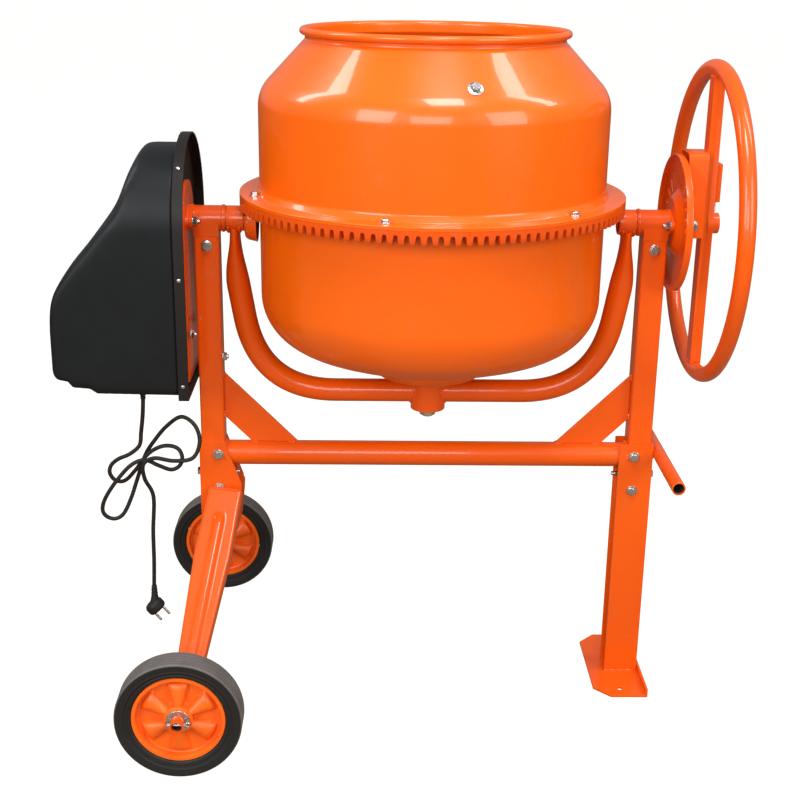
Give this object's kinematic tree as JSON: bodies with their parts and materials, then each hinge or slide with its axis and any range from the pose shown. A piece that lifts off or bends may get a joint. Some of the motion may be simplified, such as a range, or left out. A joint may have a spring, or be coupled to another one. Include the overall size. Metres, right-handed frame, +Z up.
{
  "type": "concrete mixer",
  "caption": "Portable electric concrete mixer: tilting drum in a yoke, crown gear drive, handwheel with latch, tube frame with two wheels and a foot plate.",
  "frame": {"origin": "on the floor, under the middle of the machine's length between the switch buttons and the handwheel's hub, on the plane midway between the wheels", "axes": "+Z up, +X along the tilt axis towards the handwheel, -Y towards the front wheel, the side the drum normally tips to"},
  "size_m": [1.0964, 0.732, 1.1278],
  "materials": {
    "orange_paint": "gloss enamel",
    "painted_iron": "painted casting",
    "zinc_steel": "bright zinc plated",
    "cast_aluminium": "as cast",
    "black_plastic": "fine textured",
    "orange_plastic": "satin moulded",
    "green_plastic": "satin moulded",
    "red_plastic": "satin moulded",
    "solid_tyre": "ribbed solid rubber",
    "black_rubber": "matt"
  },
  "bodies": {
    "frame": {"left_post": "orange_paint", "right_post": "orange_paint", "crossbar": "orange_paint", "left_gusset": "orange_paint", "right_gusset": "orange_paint", "left_bearing_bracket": "orange_paint", "right_bearing_bracket": "orange_paint", "left_bracket_bolt": "zinc_steel", "right_bracket_bolt": "zinc_steel", "wheel_leg_bracket": "orange_paint", "front_leg": "orange_paint", "rear_leg": "orange_paint", "axle": "orange_paint", "front_wheel_washer": "zinc_steel", "rear_wheel_washer": "zinc_steel", "right_leg": "orange_paint", "foot_plate": "orange_paint", "tow_handle": "orange_paint", "detent_disc": "orange_paint", "drive_plate": "orange_paint", "cover_back": "black_plastic", "drive_cover": "black_plastic", "motor": "cast_aluminium", "motor_bracket": "orange_paint", "drive_belt": "black_rubber", "switch_box": "black_plastic", "power_cord": "black_rubber", "cord_gland": "black_rubber", "plug": "black_rubber"},
    "yoke": {"left_trunnion": "orange_paint", "right_trunnion": "orange_paint", "left_yoke_arm": "orange_paint", "right_yoke_arm": "orange_paint", "bearing_housing": "orange_paint", "drum_shaft_bush": "zinc_steel", "pinion_shaft_bush": "zinc_steel", "pinion_guard": "orange_paint", "pivot_bolt": "zinc_steel"},
    "drum": {"upper_drum_shell": "orange_paint", "lower_drum_shell": "orange_paint", "gear_ring": "painted_iron", "drum_hub": "orange_paint", "drum_shaft": "zinc_steel", "mixing_blade_a": "orange_paint", "mixing_blade_b": "orange_paint"},
    "pinion": {"pinion_gear": "zinc_steel", "pinion_shaft": "zinc_steel", "large_pulley": "cast_aluminium"},
    "motor_rotor": {"motor_pulley": "zinc_steel"},
    "handwheel": {"handwheel_ring": "orange_paint", "handwheel_spoke": "orange_paint", "latch_saddle": "orange_paint", "latch_lever": "orange_paint", "latch_spring": "zinc_steel"},
    "front_wheel": {"front_tyre": "solid_tyre", "front_rim": "orange_plastic"},
    "rear_wheel": {"rear_tyre": "solid_tyre", "rear_rim": "orange_plastic"},
    "start": {"start_button": "green_plastic"},
    "stop": {"stop_button": "red_plastic"}
  },
  "joints": [
    {"name": "drum_tilt", "type": "hinge", "parent": "frame", "child": "yoke", "pos_m": [0.07815, 0, 0.824], "axis": [1, 0, 0], "range_deg": [-110, 110]},
    {"name": "drum_spin", "type": "hinge", "parent": "yoke", "child": "drum", "pos_m": [0.07815, 0, 0.824], "axis": [0, 0, 1], "continuous": true},
    {"name": "pinion_spin", "type": "hinge", "parent": "yoke", "child": "pinion", "pos_m": [-0.2159, 0, 0.824], "axis": [1, 0, 0], "continuous": true},
    {"name": "motor_spin", "type": "hinge", "parent": "frame", "child": "motor_rotor", "pos_m": [-0.34395, 0, 0.649], "axis": [1, 0, 0], "continuous": true},
    {"name": "handwheel_rock", "type": "hinge", "parent": "yoke", "child": "handwheel", "pos_m": [0.49915, 0, 0.824], "axis": [0, 1, 0], "range_deg": [0, 5], "stiffness_Nm_per_rad": 12, "springref_deg": -20.05},
    {"name": "front_wheel_spin", "type": "hinge", "parent": "frame", "child": "front_wheel", "pos_m": [-0.31585, -0.328, 0.1], "axis": [0, 1, 0], "continuous": true},
    {"name": "rear_wheel_spin", "type": "hinge", "parent": "frame", "child": "rear_wheel", "pos_m": [-0.31585, 0.328, 0.1], "axis": [0, 1, 0], "continuous": true},
    {"name": "start_press", "type": "slide", "parent": "frame", "child": "start", "axis": [1, 0, 0], "range_m": [0, 0.003], "stiffness_N_per_m": 300, "springref_m": -0.003},
    {"name": "stop_press", "type": "slide", "parent": "frame", "child": "stop", "axis": [1, 0, 0], "range_m": [0, 0.003], "stiffness_N_per_m": 300, "springref_m": -0.003}
  ],
  "couplings": [
    {"joint": "pinion_spin", "follows": "drum_spin", "ratio": 10},
    {"joint": "motor_spin", "follows": "drum_spin", "ratio": 57.333}
  ]
}
